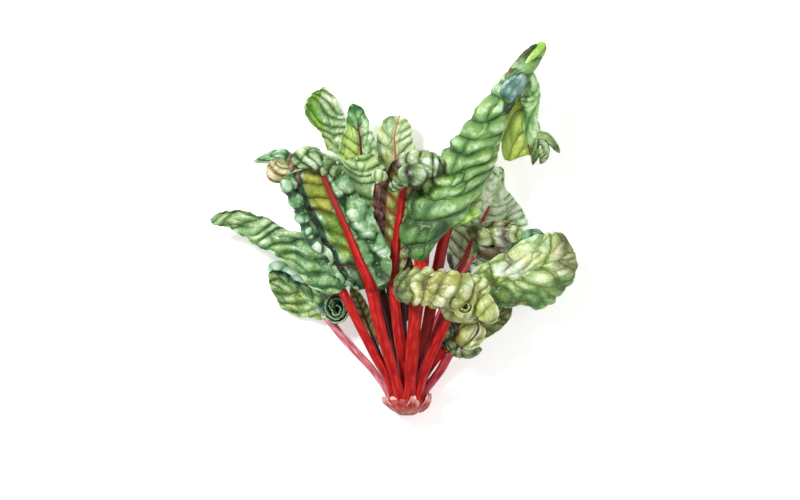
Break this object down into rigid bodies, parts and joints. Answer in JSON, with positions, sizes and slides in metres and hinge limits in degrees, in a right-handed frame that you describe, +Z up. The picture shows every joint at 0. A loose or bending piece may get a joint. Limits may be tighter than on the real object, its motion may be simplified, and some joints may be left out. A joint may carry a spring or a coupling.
{
  "type": "swiss chard bunch",
  "caption": "Bunch of red-stalked Swiss chard with puckered green leaves fanning out from one trimmed crown, laid on its side.",
  "frame": {"origin": "under the middle of the bunch's bounding box, on the surface that it lies on", "axes": "+Z up from the surface, +Y from the cut crown towards the leaf tips, +X to the bunch's right seen from above"},
  "size_m": [0.4374, 0.4482, 0.1435],
  "materials": {
    "stalk_red": "bright red ribbed leaf stalk, satin and slightly wet",
    "stalk_pink": "pinkish red ribbed leaf stalk, satin",
    "leaf_green": "deep green puckered leaf with red veins, waxy sheen",
    "leaf_pale": "pale yellow-green puckered leaf with red-brown veins, waxy sheen",
    "crown": "pinkish brown trimmed crown with old leaf scars, matte"
  },
  "bodies": {
    "root": {"arch_right_blade": "leaf_green", "arch_right_stalk": "stalk_red", "back_centre_blade": "leaf_green", "back_centre_stalk": "stalk_red", "back_right_blade": "leaf_pale", "back_right_stalk": "stalk_red", "bright_left_blade": "leaf_green", "bright_left_stalk": "stalk_red", "broad_left_blade": "leaf_green", "broad_left_stalk": "stalk_red", "centre_blade": "leaf_green", "centre_stalk": "stalk_red", "crown": "crown", "far_left_blade": "leaf_green", "far_left_stalk": "stalk_red", "front_curl_blade": "leaf_pale", "front_curl_stalk": "stalk_red", "inner_left_blade": "leaf_green", "inner_left_stalk": "stalk_red", "low_curl_blade": "leaf_pale", "low_curl_stalk": "stalk_pink", "low_left_blade": "leaf_green", "low_left_stalk": "stalk_pink", "low_right_blade": "leaf_green", "low_right_stalk": "stalk_red", "mid_right_blade": "leaf_green", "mid_right_stalk": "stalk_red", "right_blade": "leaf_pale", "right_stalk": "stalk_red", "sliver_left_blade": "leaf_green", "sliver_left_stalk": "stalk_red", "stump_front": "crown", "stump_left": "crown", "stump_right": "crown", "tall_right_blade": "leaf_green", "tall_right_stalk": "stalk_red", "top_centre_blade": "leaf_pale", "top_centre_stalk": "stalk_red", "upper_left_blade": "leaf_pale", "upper_left_stalk": "stalk_red"}
  },
  "joints": []
}
